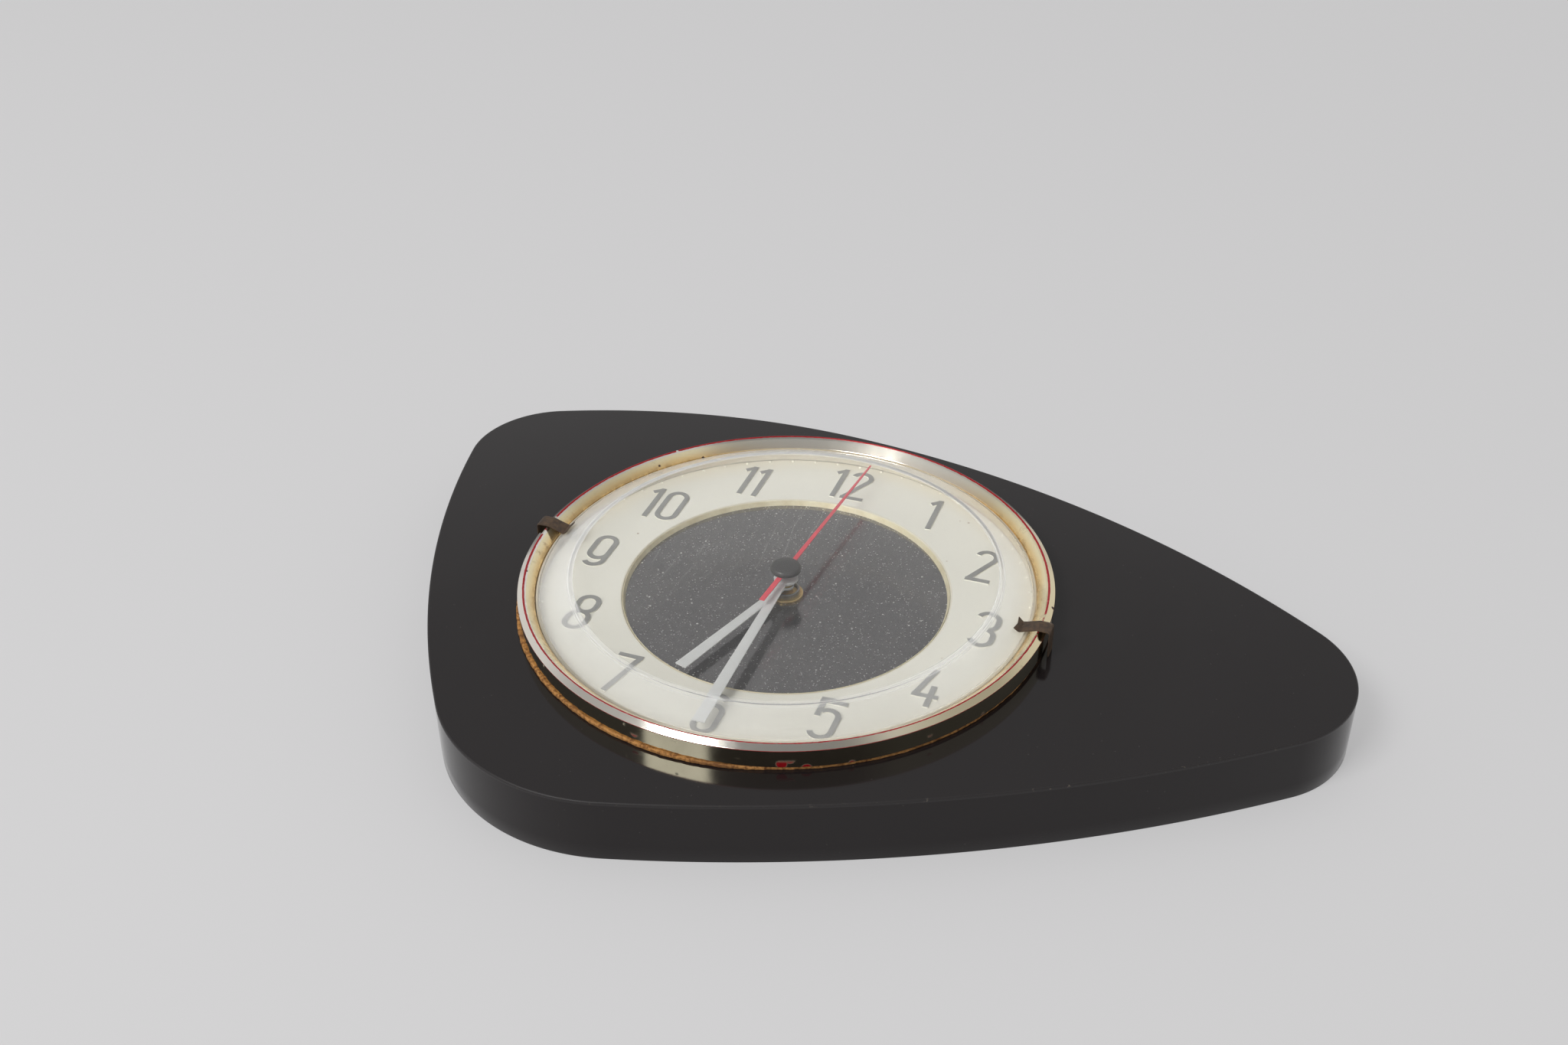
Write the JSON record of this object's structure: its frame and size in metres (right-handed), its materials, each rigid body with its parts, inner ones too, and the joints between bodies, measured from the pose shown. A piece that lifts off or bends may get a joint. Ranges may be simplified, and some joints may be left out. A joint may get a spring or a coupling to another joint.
{
  "type": "wall clock",
  "caption": "Laminate-covered wall clock with a round domed dial, plain numerals and a battery balance movement.",
  "frame": {"origin": "centre of the bounding box's bottom face, on the back of the board", "axes": "+Z out of the dial, +Y towards the twelve, +X towards the three"},
  "size_m": [0.296, 0.1984, 0.0321],
  "materials": {
    "laminate": "polished black laminate",
    "board": "raw chipboard",
    "hardboard": "brown hardboard",
    "gilt": "bright gilt, worn",
    "cork": "pressed cork",
    "brass": "brushed",
    "crystal": "clear moulded acrylic",
    "rusty_steel": "browned spring steel",
    "cream_paint": "cream enamel",
    "grey_paint": "satin grey",
    "dots": "cream and gold",
    "dark_lining": "gloss black",
    "gold_trim": "gilt",
    "black_plastic": "moulded",
    "satin_aluminium": "satin",
    "red_paint": "satin red",
    "black_gloss": "gloss black",
    "steel": "turned",
    "magnet": "sintered",
    "blued_steel": "blued",
    "copper": "enamelled copper wire",
    "white_plastic": "moulded",
    "card": "resin-bonded paper",
    "can": "drawn can",
    "cell_jacket": "printed steel, plain"
  },
  "bodies": {
    "root": {"board_core": "board", "front_laminate": "laminate", "edge_band": "laminate", "backing_sheet": "hardboard", "bezel": "gilt", "bezel_gasket": "cork", "bezel_studs": "brass", "stud_nuts": "brass", "crystal": "crystal", "crystal_clips": "rusty_steel", "dial_sheet": "cream_paint", "numerals": "grey_paint", "minute_dots": "dots", "centre_disc": "dark_lining", "trim_ring": "gold_trim", "centre_nut": "brass", "centre_bush": "brass", "case_washer": "black_plastic", "posts": "steel", "hairspring": "blued_steel", "spring_stud": "steel", "coil": "copper", "coil_spool": "white_plastic", "circuit_board": "card", "circuit_parts": "can", "back_plate": "brass", "front_plate": "brass", "pillars": "brass", "front_spacers": "brass", "movement_screws": "steel", "movement_case": "white_plastic", "cell_cradle": "black_plastic", "cell": "cell_jacket", "cell_contacts": "brass", "back_cover": "hardboard", "cover_screws": "steel", "hanger_plate": "steel", "hanger_screws": "steel"},
    "seconds": {"seconds_hand": "red_paint", "seconds_cap": "black_gloss", "seconds_arbor": "steel", "seconds_wheel": "brass"},
    "minutes": {"minute_hand": "satin_aluminium", "cannon_pinion": "steel", "centre_wheel": "brass"},
    "hours": {"hour_hand": "satin_aluminium", "hour_wheel": "brass"},
    "third": {"third_wheel": "brass", "third_arbor": "steel"},
    "escape": {"escape_wheel": "brass", "escape_arbor": "steel"},
    "motion": {"minute_wheel": "brass"},
    "setting": {"set_arbor": "steel", "set_knob": "black_plastic"},
    "fork": {"pallet_fork": "steel"},
    "balance": {"balance_wheel": "brass", "balance_staff": "steel", "balance_magnets": "magnet"},
    "regulator": {"regulator_lever": "steel"},
    "hatch": {"battery_hatch": "hardboard"}
  },
  "joints": [
    {"name": "second_turn", "type": "hinge", "parent": "root", "child": "seconds", "pos_m": [-0.018, 0.00527, 0.0275], "axis": [0, 0, -1], "continuous": true},
    {"name": "minute_turn", "type": "hinge", "parent": "root", "child": "minutes", "pos_m": [-0.018, 0.00527, 0.0248], "axis": [0, 0, -1], "continuous": true},
    {"name": "hour_turn", "type": "hinge", "parent": "root", "child": "hours", "pos_m": [-0.018, 0.00527, 0.0222], "axis": [0, 0, -1], "continuous": true},
    {"name": "third_turn", "type": "hinge", "parent": "root", "child": "third", "pos_m": [-0.0112, -0.00651, 0.0066], "axis": [0, 0, -1], "continuous": true},
    {"name": "escape_turn", "type": "hinge", "parent": "root", "child": "escape", "pos_m": [-0.02944, 0.01187, 0.0072], "axis": [0, 0, -1], "continuous": true},
    {"name": "motion_turn", "type": "hinge", "parent": "root", "child": "motion", "pos_m": [-0.0135, 0.01306, 0.0136], "axis": [0, 0, -1], "continuous": true},
    {"name": "set_turn", "type": "hinge", "parent": "root", "child": "setting", "pos_m": [-0.00571, 0.01756, 0.0015], "axis": [0, 0, -1], "continuous": true},
    {"name": "fork_rock", "type": "hinge", "parent": "root", "child": "fork", "pos_m": [-0.03542, 0.01347, 0.008], "axis": [0, 0, -1], "range_deg": [-8, 8]},
    {"name": "balance_swing", "type": "hinge", "parent": "root", "child": "balance", "pos_m": [-0.04219, 0.01529, 0.0102], "axis": [0, 0, -1], "range_deg": [-150, 150], "stiffness_Nm_per_rad": 0.000012},
    {"name": "regulator_turn", "type": "hinge", "parent": "root", "child": "regulator", "pos_m": [-0.04219, 0.01529, 0.0045], "axis": [0, 0, -1], "range_deg": [-20, 20]},
    {"name": "hatch_swing", "type": "hinge", "parent": "root", "child": "hatch", "pos_m": [-0.02501, -0.03898, 0.00175], "axis": [-1, 0, 0], "range_deg": [0, 100]}
  ],
  "couplings": [
    {"joint": "minute_turn", "follows": "second_turn", "ratio": 0.016667},
    {"joint": "hour_turn", "follows": "second_turn", "ratio": 0.0013889},
    {"joint": "third_turn", "follows": "second_turn", "ratio": -0.13333},
    {"joint": "escape_turn", "follows": "second_turn", "ratio": -10},
    {"joint": "motion_turn", "follows": "second_turn", "ratio": -0.0055556},
    {"joint": "set_turn", "follows": "second_turn", "ratio": 0.016667}
  ]
}
